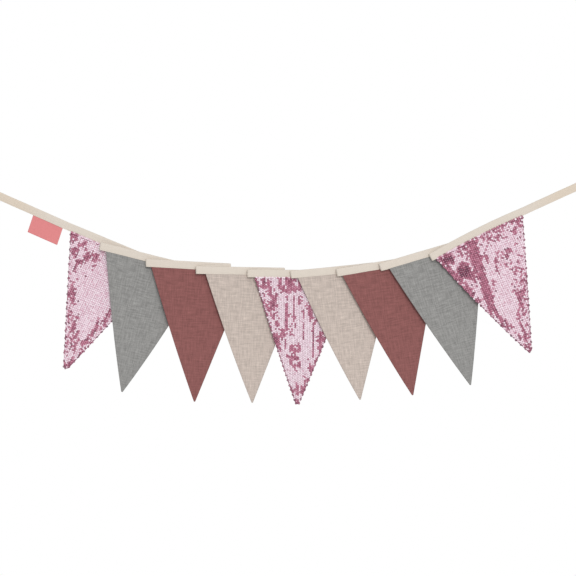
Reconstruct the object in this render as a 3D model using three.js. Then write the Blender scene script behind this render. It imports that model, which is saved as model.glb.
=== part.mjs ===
// A hanging garland: nine pennant flags, three of them covered in sequins, held in a cotton tape
// that is folded lengthwise over their top edges. The tape is pleated between the flags, so that
// each flag overlaps the one on its left. A small plain label hangs near the left end.
//
// Millimetres, +Z up. The garland hangs in the XZ plane and its front faces -Y.
// The origin is the middle of the tape's left end, which is where the garland is tied up.

import * as THREE from "three";

// The tape, folded over the flags' heads: two walls with a slot between them. Where the tape holds
// nothing it is stitched shut, and only a groove is left of the slot.
const TAPE_WIDTH = 14.5;
const TAPE_THICKNESS = 2.7;
const SLOT_WIDTH = 1.85;
const SLOT_DEPTH = 12;
const GROOVE_DEPTH = 2;

// The flags. The head is the part of a flag that is hidden in the tape.
const FLAG_WIDTH = 180;
const FLAG_THICKNESS = 1;
const HEAD = 11;

// The pleats.
const FOLD_RADIUS = 1.7;
const PLEAT_DEPTH = 6.5;

// The middle of the tape's two ends, where they are held.
const LEFT_END = { x: 0, z: 0 };
const RIGHT_END = { x: 1146, z: 18 };

// The label hangs from the tape, starting at a distance to the left of the first flag.
const LABEL = { start: 76, width: 60, height: 33, thickness: 1 };

// How finely the cloth is divided.
const FLAG_ROWS = 6;
const LEFT_COLUMNS = 7;
const TIP_COLUMNS = 4;
const RIGHT_COLUMNS = 4;
const FLAP_COLUMNS = 2;
const FOLD_STEPS = 6;
const TAPE_STEPS = 4;

const FINISHES = {
  sequin: { color: 0xe6ccd6, roughness: 0.35, metalness: 0.2 },
  grey: { color: 0x969592, roughness: 0.9, metalness: 0 },
  rose: { color: 0x8f5f5d, roughness: 0.9, metalness: 0 },
  natural: { color: 0xc8bab0, roughness: 0.9, metalness: 0 },
  tape: { color: 0xdccfc2, roughness: 0.85, metalness: 0 },
  label: { color: 0xe08e8e, roughness: 0.7, metalness: 0 },
};

// One row for each flag, from left to right, with these columns:
// x, z: the flag's top left corner, at the lower edge of the tape.
// slope: degrees by which the tape falls to the right along the flag.
// sag: how far the tape dips below a straight line across the flag.
// bare: bare tape between the flag on the left and this one, laid out flat.
// lead: the part of it between the pleat's last fold and this flag.
// height: from the tape to the point where the flag's two long edges would meet.
// lean: degrees by which that point stands to the right of the flag's middle line.
// blunt: half the width of the rounded tip.
// bow: how much lower the middle of the left edge is than a straight edge.
// swell: the same for the right edge.
// curl: how far the tip stands in front of the flag's own plane.
const COLUMNS = [
  "cloth", "x", "z", "slope", "sag", "bare", "lead", "height", "lean", "blunt", "bow", "swell", "curl",
];
const FLAGS = [
  ["sequin", 168, -82, 22.5, 0, 0, 0, 250, 0, 5, 1, 1, 5],
  ["grey", 235, -119, 14, 0, 32, 10.5, 250, 0.4, 1.5, 9, 8, 3],
  ["rose", 319, -148, 3, 0, 27, 7.5, 249, 0.8, 1.5, 7, 0, 6],
  ["natural", 420, -161, 1, 0, 40, 15.5, 241, 0.15, 1.5, 7, 0, 4],
  ["sequin", 511, -167, 0.5, 0, 40, 11, 244, -2, 4, 4, 0, 7],
  ["natural", 591, -168, -6.1, 1, 40, 9.5, 240, 0.3, 1.5, 9, 0, 4],
  ["rose", 674, -164, -9.5, 0, 33, 7, 244, 0.5, 1.5, 9, 0, 6],
  ["grey", 761, -151, -16.5, 0, 40, 13, 254, -1.4, 1.5, 9, 6, 3],
  ["sequin", 848, -133, -26.5, -3, 40, 5.5, 244, -2.5, 4, 9, 2, 5],
];

// In the garland's plane a 2-D vector holds the place: x to the right and y for the height.

function moved(point, direction, distance) {
  return point.clone().addScaledVector(direction, distance);
}

function squareDown(direction) {
  return new THREE.Vector2(direction.y, -direction.x).normalize();
}

function layFlag(values, index) {
  const row = Object.fromEntries(COLUMNS.map((column, i) => [column, values[i]]));
  const slope = THREE.MathUtils.degToRad(row.slope);
  const lean = THREE.MathUtils.degToRad(row.lean);
  const direction = new THREE.Vector2(Math.cos(slope), -Math.sin(slope));
  return {
    ...row,
    name: `flag_${index + 1}_${row.cloth}`,
    corner: new THREE.Vector2(row.x, row.z),
    direction,
    down: squareDown(direction),
    tip: FLAG_WIDTH / 2 + row.height * Math.sin(lean),
    drop: row.height * Math.cos(lean),
    run: Infinity,
  };
}

const flags = FLAGS.map(layFlag);
const firstFlag = flags[0];
const lastFlag = flags[flags.length - 1];

// A point of the tape's lower edge, at a distance to the right of a flag's corner.
function lowerEdge(flag, distance) {
  if (distance < 0) return moved(flag.corner, flag.leadDirection ?? flag.direction, distance);
  const share = Math.min(distance / FLAG_WIDTH, 1);
  const chord = moved(flag.corner, flag.direction, share * FLAG_WIDTH);
  const edge = moved(chord, flag.down, 4 * flag.sag * share * (1 - share));
  const past = Math.max(distance - FLAG_WIDTH, 0);
  return moved(edge, flag.tailDirection ?? flag.direction, past);
}

// Along a flag the tape runs on to a pleat on the right, goes back behind the next flag and turns
// again. All the tape between the two flags' corners is used up, which gives the pleat its place.
function layPleat(flag, next) {
  const nextFold = lowerEdge(next, -next.lead);
  const tapeLength = FLAG_WIDTH + next.bare - next.lead;
  const back = flag.corner.clone().sub(nextFold);
  flag.run = (tapeLength ** 2 - back.lengthSq()) / (2 * (back.dot(flag.direction) + tapeLength));
  flag.fold = lowerEdge(flag, flag.run);
  flag.returnLength = flag.fold.distanceTo(nextFold);
  flag.returnDirection = nextFold.clone().sub(flag.fold).normalize();
  // The fold line lies square to the mean of the tape's two directions.
  const foldLine = squareDown(flag.direction.clone().sub(flag.returnDirection));
  return foldLine.divideScalar(foldLine.dot(flag.down));
}

flags.forEach((flag, index) => {
  flag.columnDown = flag === lastFlag ? flag.down : layPleat(flag, flags[index + 1]);
  // A flag's columns run along its fold line, so the tip belongs to a column that starts aside.
  flag.tipColumn = flag.tip - flag.drop * flag.columnDown.dot(flag.direction);
});

// The two ends of the tape run straight from their flags' corners to where they are held.
const halfWidth = TAPE_WIDTH / 2;
const leftEdge = moved(new THREE.Vector2(LEFT_END.x, LEFT_END.z), firstFlag.columnDown, halfWidth);
const rightEdge = moved(new THREE.Vector2(RIGHT_END.x, RIGHT_END.z), lastFlag.columnDown, halfWidth);
const leadIn = firstFlag.corner.clone().sub(leftEdge);
const leadOut = rightEdge.clone().sub(lowerEdge(lastFlag, FLAG_WIDTH));
firstFlag.lead = leadIn.length();
firstFlag.leadDirection = leadIn.clone().normalize();
lastFlag.tailDirection = leadOut.clone().normalize();
const lastLength = FLAG_WIDTH + leadOut.length();

// How far back the sheet stands along a flag. Each part starts at the front at its left pleat and
// goes to the back at its right one. Only the garland's two ends are in the middle.
function depthAlong(flag, distance) {
  const start = flag === firstFlag ? 0 : -PLEAT_DEPTH;
  const end = flag === lastFlag ? 0 : PLEAT_DEPTH;
  const length = flag === lastFlag ? lastLength : flag.run;
  return THREE.MathUtils.mapLinear(distance, -flag.lead, length, start, end);
}

// How far back the tape stands on its way back from a pleat on the right.
function depthOfReturn(flag, distance) {
  const depth = PLEAT_DEPTH - 2 * FOLD_RADIUS;
  return THREE.MathUtils.mapLinear(distance, 0, flag.returnLength, depth, -depth);
}

// A point of a flag, from its distance along the tape and its drop below the tape's lower edge,
// both measured on the flat cloth. Past the pleat the flag's corner is folded to the front.
function flagPoint(flag, distance, drop) {
  const foldLength = Math.PI * FOLD_RADIUS;
  const past = distance - flag.run;
  let edge = lowerEdge(flag, Math.min(distance, flag.run));
  let depth = depthAlong(flag, Math.min(distance, flag.run));
  if (past > foldLength) {
    edge = moved(edge, flag.returnDirection, past - foldLength);
    depth = depthOfReturn(flag, past - foldLength);
  } else if (past > 0) {
    edge = moved(edge, flag.direction, FOLD_RADIUS * Math.sin(past / FOLD_RADIUS));
    depth -= FOLD_RADIUS * (1 - Math.cos(past / FOLD_RADIUS));
  }
  const point = moved(edge, flag.columnDown, drop);
  const curl = flag.curl * (Math.max(drop, 0) / flag.drop) ** 2;
  return new THREE.Vector3(point.x, depth - curl, point.y);
}

// Closed solids are lofted through rings of points, with both ends closed by the given quads.
function loft(rings, capQuads) {
  const size = rings[0].length;
  const last = (rings.length - 1) * size;
  const faces = [];
  const addQuad = (a, b, c, d) => faces.push(a, b, c, a, c, d);
  for (let start = 0; start < last; start += size) {
    for (let j = 0; j < size; j += 1) {
      const next = (j + 1) % size;
      addQuad(start + j, start + next, start + size + next, start + size + j);
    }
  }
  for (const [a, b, c, d] of capQuads) {
    addQuad(d, c, b, a);
    addQuad(last + a, last + b, last + c, last + d);
  }
  const positions = rings.flat().flatMap((point) => point.toArray());
  const geometry = new THREE.BufferGeometry();
  geometry.setAttribute("position", new THREE.Float32BufferAttribute(positions, 3));
  geometry.setIndex(faces);
  geometry.computeVertexNormals();
  return geometry;
}

// A sheet is a grid of columns of points that run down. Its normals point to the back.
function sheetNormal(grid, column, row) {
  const before = grid[Math.max(column - 1, 0)][row];
  const after = grid[Math.min(column + 1, grid.length - 1)][row];
  const above = grid[column][Math.max(row - 1, 0)];
  const below = grid[column][Math.min(row + 1, grid[column].length - 1)];
  const across = after.clone().sub(before);
  const downwards = below.clone().sub(above);
  return across.cross(downwards).normalize();
}

function offsetPoint(grid, column, row, offset) {
  return grid[column][row].clone().addScaledVector(sheetNormal(grid, column, row), offset);
}

// Each ring of a sheet goes down the front of a column and up its back.
function sheetSolid(grid, thickness) {
  const lastRow = grid[0].length - 1;
  const rings = grid.map((points, column) => {
    const front = points.map((_, row) => offsetPoint(grid, column, row, -thickness / 2));
    const back = points.map((_, row) => offsetPoint(grid, column, row, thickness / 2));
    return [...front, ...back.reverse()];
  });
  const capQuads = [];
  for (let row = 0; row < lastRow; row += 1) {
    capQuads.push([row, row + 1, 2 * lastRow - row, 2 * lastRow + 1 - row]);
  }
  return loft(rings, capQuads);
}

// The drop of a flag's lower outline: two long edges that meet in a rounded tip.
function outlineDrop(flag, distance) {
  const shoulder = flag.drop * (1 - 2 * flag.blunt / FLAG_WIDTH);
  const fromTip = Math.abs(distance - flag.tipColumn);
  if (fromTip < flag.blunt) return shoulder + flag.blunt * (1 - (fromTip / flag.blunt) ** 2) / 2;
  const onLeft = distance < flag.tipColumn;
  const side = onLeft ? flag.tipColumn : FLAG_WIDTH - flag.tipColumn;
  const share = 1 - (fromTip - flag.blunt) / (side - flag.blunt);
  const bow = onLeft ? flag.bow : flag.swell;
  return shoulder * share + 4 * bow * share * (1 - share);
}

function evenly(from, to, steps) {
  return Array.from({ length: steps }, (_, i) => THREE.MathUtils.lerp(from, to, i / steps));
}

function flagColumns(flag) {
  const tipLeft = flag.tipColumn - flag.blunt;
  const tipRight = flag.tipColumn + flag.blunt;
  const start = [...evenly(0, tipLeft, LEFT_COLUMNS), ...evenly(tipLeft, tipRight, TIP_COLUMNS)];
  if (flag === lastFlag) {
    return [...start, ...evenly(tipRight, FLAG_WIDTH, RIGHT_COLUMNS), FLAG_WIDTH];
  }
  const foldEnd = flag.run + Math.PI * FOLD_RADIUS;
  return [
    ...start,
    ...evenly(tipRight, flag.run, RIGHT_COLUMNS),
    ...evenly(flag.run, foldEnd, FOLD_STEPS),
    ...evenly(foldEnd, FLAG_WIDTH, FLAP_COLUMNS),
    FLAG_WIDTH,
  ];
}

function flagSolid(flag) {
  const grid = flagColumns(flag).map((distance) => {
    const lowest = outlineDrop(flag, distance);
    const drops = [...evenly(-HEAD, lowest, FLAG_ROWS), lowest];
    return drops.map((drop) => flagPoint(flag, distance, drop));
  });
  return sheetSolid(grid, FLAG_THICKNESS);
}

// The label is a flat sheet whose head is held in the tape's slot.
function labelSolid() {
  const grid = [-LABEL.start, LABEL.width - LABEL.start].map((distance) => (
    [-HEAD, LABEL.height].map((drop) => {
      const point = moved(lowerEdge(firstFlag, distance), firstFlag.columnDown, drop);
      return new THREE.Vector3(point.x, depthAlong(firstFlag, distance), point.y);
    })
  ));
  return sheetSolid(grid, LABEL.thickness);
}

// A column of the tape: its upper edge, the roof of its slot and its lower edge.
function tapeColumn(edge, depth, down, slotDepth) {
  return [TAPE_WIDTH, slotDepth, 0].map((height) => {
    const point = moved(edge, down, -height);
    return new THREE.Vector3(point.x, depth, point.y);
  });
}

function tapeAlong(flag) {
  const columnAt = (distance, slotDepth) => (
    tapeColumn(lowerEdge(flag, distance), depthAlong(flag, distance), flag.columnDown, slotDepth)
  );
  const flagEnd = Math.min(flag.run, FLAG_WIDTH);
  const held = [...evenly(0, flagEnd, TAPE_STEPS), flagEnd];
  if (flag === firstFlag) held.unshift(-LABEL.start);
  const columns = held.map((distance) => columnAt(distance, SLOT_DEPTH));
  columns.unshift(columnAt(-flag.lead, GROOVE_DEPTH));
  if (flag === lastFlag) columns.push(columnAt(lastLength, GROOVE_DEPTH));
  return columns;
}

// At a fold the tape turns to the front in half a circle, which bulges outwards.
function tapeTurn(edge, outwards, down, depth, slotDepth) {
  return evenly(0, Math.PI, FOLD_STEPS).slice(1).map((turn) => {
    const point = moved(edge, outwards, FOLD_RADIUS * Math.sin(turn));
    return tapeColumn(point, depth - FOLD_RADIUS * (1 - Math.cos(turn)), down, slotDepth);
  });
}

// Between two flags: the fold on the right, the way back, which holds the flag's folded corner
// at first, and the fold on the left.
function tapePleat(flag, next) {
  const returnAt = (distance, slotDepth) => {
    const edge = moved(flag.fold, flag.returnDirection, distance);
    const down = flag.columnDown.clone().lerp(next.columnDown, distance / flag.returnLength);
    return tapeColumn(edge, depthOfReturn(flag, distance), down, slotDepth);
  };
  const flapEnd = FLAG_WIDTH - flag.run - Math.PI * FOLD_RADIUS;
  const nextFold = lowerEdge(next, -next.lead);
  const leftwards = next.direction.clone().negate();
  const leftDepth = depthOfReturn(flag, flag.returnLength);
  return [
    ...tapeTurn(flag.fold, flag.direction, flag.columnDown, PLEAT_DEPTH, SLOT_DEPTH),
    returnAt(0, SLOT_DEPTH),
    returnAt(flapEnd, SLOT_DEPTH),
    returnAt(flag.returnLength, GROOVE_DEPTH),
    ...tapeTurn(nextFold, leftwards, next.columnDown, leftDepth, GROOVE_DEPTH),
  ];
}

// Each ring of the tape goes down its front wall, up into the slot and down the back wall again.
function tapeSolid() {
  const grid = flags.flatMap((flag, index) => (
    flag === lastFlag ? tapeAlong(flag) : [...tapeAlong(flag), ...tapePleat(flag, flags[index + 1])]
  ));
  const [upper, roof, lower] = [0, 1, 2];
  const outside = TAPE_THICKNESS / 2;
  const inside = SLOT_WIDTH / 2;
  const rings = grid.map((_, column) => [
    offsetPoint(grid, column, upper, -outside),
    offsetPoint(grid, column, lower, -outside),
    offsetPoint(grid, column, lower, -inside),
    offsetPoint(grid, column, roof, -inside),
    offsetPoint(grid, column, roof, inside),
    offsetPoint(grid, column, lower, inside),
    offsetPoint(grid, column, lower, outside),
    offsetPoint(grid, column, upper, outside),
  ]);
  const frontWall = [0, 1, 2, 3];
  const crown = [0, 3, 4, 7];
  const backWall = [4, 5, 6, 7];
  return loft(rings, [frontWall, crown, backWall]);
}

const garland = new THREE.Group();

function addPiece(name, geometry, finish) {
  const piece = new THREE.Mesh(geometry, new THREE.MeshStandardMaterial(FINISHES[finish]));
  piece.name = name;
  garland.add(piece);
}

addPiece("tape", tapeSolid(), "tape");
addPiece("label", labelSolid(), "label");
for (const flag of flags) addPiece(flag.name, flagSolid(flag), flag.cloth);

export default garland;
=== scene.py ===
# %% [markdown]
# # A sequin garland
#
# The real thing is a party garland: nine pennant flags on one long cotton tape. Six flags are plain
# linen and three are covered in sequins. The tape is folded lengthwise over the top edges of the
# flags and stitched along its lower edge, and between two flags it is pleated, so that each flag
# overlaps the one on its left.
#
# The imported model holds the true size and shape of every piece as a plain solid. This lesson dresses
# those solids: it lays a fine sheet of cloth on each of them, sews on the sequins and the stitches,
# and gives every cloth its weave.

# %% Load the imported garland
import math
from functools import partial
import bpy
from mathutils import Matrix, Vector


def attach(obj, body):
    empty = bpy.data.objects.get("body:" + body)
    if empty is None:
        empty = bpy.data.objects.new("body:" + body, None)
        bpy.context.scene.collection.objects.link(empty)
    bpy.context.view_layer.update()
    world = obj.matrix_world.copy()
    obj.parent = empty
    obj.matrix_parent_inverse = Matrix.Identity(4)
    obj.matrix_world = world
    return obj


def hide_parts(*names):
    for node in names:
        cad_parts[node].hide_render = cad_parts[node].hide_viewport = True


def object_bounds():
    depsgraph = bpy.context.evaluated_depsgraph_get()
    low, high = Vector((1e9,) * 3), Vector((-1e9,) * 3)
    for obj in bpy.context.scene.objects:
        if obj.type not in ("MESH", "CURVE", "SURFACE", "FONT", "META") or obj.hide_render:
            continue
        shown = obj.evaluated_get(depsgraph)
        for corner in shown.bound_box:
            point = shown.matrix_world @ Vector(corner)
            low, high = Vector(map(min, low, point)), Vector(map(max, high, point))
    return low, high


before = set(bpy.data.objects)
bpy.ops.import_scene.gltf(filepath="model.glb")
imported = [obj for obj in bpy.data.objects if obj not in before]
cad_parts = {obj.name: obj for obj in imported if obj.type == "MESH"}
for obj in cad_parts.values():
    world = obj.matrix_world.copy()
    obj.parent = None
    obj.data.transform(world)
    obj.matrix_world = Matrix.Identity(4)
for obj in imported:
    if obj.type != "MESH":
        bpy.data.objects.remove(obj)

from types import SimpleNamespace

import bpy
import numpy as np
from mathutils import Vector

MM = 0.001
cad_low, cad_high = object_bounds()
cad_size = cad_high - cad_low
cad_middle = (cad_low + cad_high) / 2
print(f"{len(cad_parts)} solids, {cad_size.x:.3f} m long and {cad_size.z:.3f} m high")

# %% [markdown]
# ## The camera
#
# A garland is looked at straight on, from a few steps away. A short lens close by would make the
# middle flags look larger than the outer ones, so the camera stands far off with a long lens. Both
# ends of the tape run a little out of the view, as when a garland is tied up out of sight.

# %% The camera
CAMERA_DISTANCE = 3.2
END_OUT_OF_VIEW = 0.040
LOOK_ASIDE = Vector((-0.0006, 0, 0.0022))

view_width = cad_size.x - 2 * END_OUT_OF_VIEW
camera_place = cad_middle + LOOK_ASIDE
camera_place.y = -CAMERA_DISTANCE
bpy.ops.object.camera_add(location=camera_place, rotation=(math.pi / 2, 0, 0))
camera = bpy.context.object
camera.name = "camera"
camera.data.lens = camera.data.sensor_width * CAMERA_DISTANCE / view_width
bpy.context.scene.camera = camera
print(f"the view is {view_width:.3f} m wide through a {camera.data.lens:.0f} mm lens")

# %% [markdown]
# ## A short way to add nodes
#
# The light, the cloth and the sequins all get their looks from small trees of nodes. These few
# functions add a node and fill its inputs, each with a plain value or with what another node gives.

# %% A short way to add nodes


def put(socket, value):
    """Links a node's output to a socket, or writes a plain value in it."""
    if isinstance(value, bpy.types.NodeSocket):
        socket.id_data.links.new(value, socket)
    else:
        socket.default_value = value


def fill(node, inputs):
    for name, value in inputs.items():
        put(node.inputs[name], value)
    return node


def add_node(tree, kind, inputs=None, **settings):
    """A new node with its settings, and with inputs that are given by name or by number."""
    node = tree.nodes.new(f"ShaderNode{kind}")
    for name, value in settings.items():
        setattr(node, name, value)
    return fill(node, inputs or {})


def calculate(operation, *values):
    """What a Math node makes of some values, at least one of which comes from another node."""
    tree = next(value.id_data for value in values if isinstance(value, bpy.types.NodeSocket))
    return add_node(tree, "Math", dict(enumerate(values)), operation=operation).outputs[0]


def scaled(colour, factor):
    """A colour made lighter or darker by the factor that another node gives."""
    inputs = {0: colour, "Scale": factor}
    return add_node(factor.id_data, "VectorMath", inputs, operation="SCALE").outputs[0]


def new_material(name):
    material = bpy.data.materials.new(name)
    material.use_nodes = True
    return material, material.node_tree


print("add_node and calculate are ready")

# %% [markdown]
# ## Light, floor and background
#
# Cloth shows its folds best in soft light that comes mostly from one side. One large lamp stands in
# front of the garland, above it and a little to the right, so each flag throws a soft and narrow
# shadow to its left on the flag behind it. The white surroundings fill in the rest. The camera and
# mirror-like things see them as plain white, while the light that they give is set apart, so that a
# colour renders about as it is written.

# %% Light, floor and background
SKY_LIGHT = 0.60
KEY_POWER = 648
KEY_SIZE = 6.0
KEY_PLACE = cad_middle + Vector((3.0, -11.0, 3.5))
FLOOR_DROP = 0.55
FLOOR_WIDTH, FLOOR_DEPTH = 3.0, 1.6
FLOOR_SHADE = 0.12


def white_when_seen(tree, other, white, output, share=1):
    """Shows a white shader to the camera and to mirror-like surfaces, and lights with another."""
    paths = add_node(tree, "LightPath").outputs
    seen = paths["Is Camera Ray"]
    for name in ("Is Glossy Ray", "Is Transmission Ray"):
        seen = calculate("MAXIMUM", seen, paths[name])
    seen = calculate("MULTIPLY", seen, share)
    mix = add_node(tree, "MixShader", {0: seen, 1: other.outputs[0], 2: white.outputs[0]})
    add_node(tree, output, {"Surface": mix.outputs[0]})


def make_surroundings():
    world = bpy.data.worlds.new("white surroundings")
    bpy.context.scene.world = world
    world.use_nodes = True
    tree = world.node_tree
    tree.nodes.clear()
    light, white = (
        add_node(tree, "Background", {"Color": (1, 1, 1, 1), "Strength": strength})
        for strength in (SKY_LIGHT, 1)
    )
    white_when_seen(tree, light, white, "OutputWorld")


def make_floor():
    bpy.ops.mesh.primitive_plane_add(size=1, location=(cad_middle.x, 0, cad_low.z - FLOOR_DROP))
    floor = bpy.context.object
    floor.name = "floor"
    floor.scale = (FLOOR_WIDTH, FLOOR_DEPTH, 1)
    bpy.ops.object.transform_apply(location=True, scale=True)
    material, tree = new_material("Pale floor")
    tree.nodes.clear()
    matt = add_node(tree, "BsdfDiffuse", {"Color": (0.9, 0.9, 0.9, 1)})
    white_when_seen(tree, matt, add_node(tree, "Emission"), "OutputMaterial", 1 - FLOOR_SHADE)
    floor.data.materials.append(material)


bpy.context.scene.view_settings.view_transform = "Standard"
make_surroundings()
make_floor()
bpy.ops.object.light_add(type="AREA", location=KEY_PLACE)
key_lamp = bpy.context.object
key_lamp.name = "key_lamp"
key_lamp.data.shape = "DISK"
key_lamp.data.size = KEY_SIZE
key_lamp.data.energy = KEY_POWER
key_lamp.visible_glossy = False
key_lamp.rotation_euler = (cad_middle - key_lamp.location).to_track_quat("-Z", "Y").to_euler()
print(f"one lamp of {KEY_POWER} W and a floor {FLOOR_DROP} m below the tips")

# %% [markdown]
# ## The garland's measures
#
# A seamstress would note the same few numbers: the width of the tape, the size of a flag, and the
# length of bare tape between two flags. The garland's own drape adds where each flag's top left
# corner hangs and how steeply the tape falls there. Everything else follows, and the same numbers
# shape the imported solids, so the fine cloth lies exactly on them.

# %% The garland's measures
TAPE_WIDTH = 14.5 * MM
SLOT_DEPTH = 12 * MM
GROOVE_DEPTH = 2 * MM
FLAG_WIDTH = 180 * MM
HEAD = 11 * MM
FOLD_RADIUS = 1.7 * MM
PLEAT_DEPTH = 6.5 * MM
BACK_DEPTH = PLEAT_DEPTH - 2 * FOLD_RADIUS
LEFT_END = np.array((0.0, 0.0))
RIGHT_END = np.array((1146.0, 18.0)) * MM
LABEL_START, LABEL_WIDTH, LABEL_HEIGHT = 76 * MM, 60 * MM, 33 * MM

# Millimetres and degrees. x and z are the flag's top left corner and slope the tape's fall to the
# right. sag is the tape's dip, bare the bare tape on the left when it is laid out flat, and lead the
# part of it that lies beside the flag. height is the flag's drop, lean turns the tip to the right
# and blunt rounds it. bow and swell round the left and the right edge, and curl brings the tip
# forward.
LENGTHS = ("sag", "bare", "lead", "height", "blunt", "bow", "swell", "curl")
COLUMNS = (
    "cloth", "x", "z", "slope", "sag", "bare", "lead",
    "height", "lean", "blunt", "bow", "swell", "curl",
)
FLAGS = (
    ("sequin", 168, -82, 22.5, 0, 0, 0, 250, 0, 5, 1, 1, 5),
    ("grey", 235, -119, 14, 0, 32, 10.5, 250, 0.4, 1.5, 9, 8, 3),
    ("rose", 319, -148, 3, 0, 27, 7.5, 249, 0.8, 1.5, 7, 0, 6),
    ("natural", 420, -161, 1, 0, 40, 15.5, 241, 0.15, 1.5, 7, 0, 4),
    ("sequin", 511, -167, 0.5, 0, 40, 11, 244, -2, 4, 4, 0, 7),
    ("natural", 591, -168, -6.1, 1, 40, 9.5, 240, 0.3, 1.5, 9, 0, 4),
    ("rose", 674, -164, -9.5, 0, 33, 7, 244, 0.5, 1.5, 9, 0, 6),
    ("grey", 761, -151, -16.5, 0, 40, 13, 254, -1.4, 1.5, 9, 6, 3),
    ("sequin", 848, -133, -26.5, -3, 40, 5.5, 244, -2.5, 4, 9, 2, 5),
)


def named(columns, row):
    """A row of a table, with a name for each of its values."""
    return SimpleNamespace(**dict(zip(columns, row)))


def unit(vectors):
    return vectors / np.linalg.norm(vectors, axis=-1, keepdims=True)


def square_down(direction):
    return unit(np.array((direction[1], -direction[0])))


def read_flag(number, row):
    flag = named(COLUMNS, row)
    flag.number = number
    slope, lean = math.radians(flag.slope), math.radians(flag.lean)
    for name in LENGTHS:
        setattr(flag, name, getattr(flag, name) * MM)
    flag.node = f"flag_{number}_{flag.cloth}"
    flag.corner = np.array((flag.x, flag.z)) * MM
    flag.direction = np.array((math.cos(slope), -math.sin(slope)))
    flag.lead_direction = flag.tail_direction = flag.return_direction = flag.direction
    flag.down = flag.column_down = square_down(flag.direction)
    flag.tip = FLAG_WIDTH / 2 + flag.height * math.sin(lean)
    flag.drop = flag.height * math.cos(lean)
    flag.run, flag.return_slope = math.inf, 0.0
    return flag


flags = [read_flag(number, row) for number, row in enumerate(FLAGS, 1)]
first_flag, last_flag = flags[0], flags[-1]
print(f"{len(flags)} flags: " + ", ".join(flag.cloth for flag in flags))

# %% [markdown]
# ## Where the pleats fall
#
# Between two flags the tape runs on to the right, turns back behind the next flag and turns forward
# again. The bare tape has a known length, and so the place of each fold can be worked out. A fold
# line lies halfway between the two directions of the tape that meet in it, and the flag's corner is
# folded along the same line. Lines down the cloth are therefore laid parallel to the fold line.

# %% Where the pleats fall


def lower_edge(flag, along):
    """Points of the tape's lower edge, at distances along the tape from the flag's corner."""
    along = np.asarray(along, float)[..., None]
    share = np.clip(along / FLAG_WIDTH, 0, 1)
    chord = flag.corner + share * FLAG_WIDTH * flag.direction
    dip = 4 * flag.sag * share * (1 - share) * flag.down
    before = np.minimum(along, 0) * flag.lead_direction
    past = np.maximum(along - FLAG_WIDTH, 0) * flag.tail_direction
    return chord + dip + before + past


def lay_pleat(flag, following):
    """Works out how far the tape runs along a flag, and how it returns to the next one."""
    next_fold = lower_edge(following, -following.lead)
    tape_length = FLAG_WIDTH + following.bare - following.lead
    back = flag.corner - next_fold
    reach = 2 * (back @ flag.direction + tape_length)
    flag.run = (tape_length**2 - back @ back) / reach
    flag.fold = lower_edge(flag, flag.run)
    flag.return_length = np.linalg.norm(flag.fold - next_fold)
    flag.return_direction = unit(next_fold - flag.fold)
    flag.return_slope = -2 * BACK_DEPTH / flag.return_length
    fold_line = square_down(flag.direction - flag.return_direction)
    flag.column_down = fold_line / (fold_line @ flag.down)


for flag, following in zip(flags, flags[1:]):
    lay_pleat(flag, following)
for flag in flags:
    flag.skew = flag.column_down @ flag.direction
    flag.tip_column = flag.tip - flag.drop * flag.skew

lead_in = first_flag.corner - (LEFT_END + first_flag.column_down * TAPE_WIDTH / 2)
lead_out = RIGHT_END + last_flag.column_down * TAPE_WIDTH / 2 - lower_edge(last_flag, FLAG_WIDTH)
first_flag.lead = np.linalg.norm(lead_in)
first_flag.lead_direction = unit(lead_in)
last_flag.tail_direction = unit(lead_out)
last_length = FLAG_WIDTH + np.linalg.norm(lead_out)
folded = [f"{(FLAG_WIDTH - flag.run) / MM:.0f}" for flag in flags[:-1]]
print("folded corners: " + ", ".join(folded) + " mm")

# %% [markdown]
# ## Points on the cloth
#
# Every place on a flag has two numbers that it keeps however the flag hangs: how far along the tape
# it is, and how far below it. One function turns these into a point in the room. It follows the
# tape's slope, goes round the fold at the pleat, and brings the tip a little forward. It also adds
# the slack of the cloth: a few soft troughs and ridges, two millimetres deep at most, because these
# flags are small, lined and stiff.

# %% Points on the cloth
SLACK_START = 30 * MM
SURFACE_STEP = 0.2 * MM
# Millimetres and degrees: the flags that have the trough, its middle, its half width and half height,
# how far its line turns to the left on its way down, and how far it stands forward.
TROUGH_COLUMNS = ("flags", "across", "drop", "half_width", "half_height", "turn", "forward")
TROUGHS = (
    ((2, 5, 6, 9), 12, 60, 14, 90, 18, -2.2),
    ((1,), 105, 70, 30, 70, 0, 1.5),
    ((2,), 52, 95, 20, 100, -10, -0.6),
    ((2,), 110, 70, 16, 80, 12, 0.5),
    ((3,), 62, 60, 15, 90, -14, -0.8),
    ((3,), 100, 90, 20, 120, -10, 0.7),
    ((4,), 60, 60, 18, 90, 8, 0.5),
    ((4, 5), 110, 60, 30, 80, 0, 1.5),
    ((6,), 55, 70, 17, 100, -12, -0.6),
    ((6,), 100, 100, 18, 100, 6, 0.6),
    ((7,), 60, 80, 16, 90, 10, 0.6),
    ((7,), 105, 60, 15, 90, -12, -0.7),
    ((8,), 65, 60, 18, 100, -16, -0.7),
    ((8,), 120, 60, 30, 80, 0, 1.5),
)


def place_in(box, across, drop):
    """A place as seen from the middle of a turned box whose half sizes both count as one."""
    turn = math.radians(box.turn)
    right, below = across / MM - box.across, drop / MM - box.drop
    x = right * math.cos(turn) + below * math.sin(turn)
    y = below * math.cos(turn) - right * math.sin(turn)
    return x / box.half_width, y / box.half_height


def slack(flag, along, drop):
    """How far the cloth stands forward of its even sheet, which is nothing at the tape."""
    forward = np.zeros(np.broadcast(along, drop).shape)
    for trough in (named(TROUGH_COLUMNS, row) for row in TROUGHS):
        if flag.number in trough.flags:
            x, y = place_in(trough, along, drop)
            forward = forward + trough.forward * MM * np.exp(-(x**2) - y**2)
    return forward * np.clip(drop / SLACK_START, 0, 1)


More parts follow.
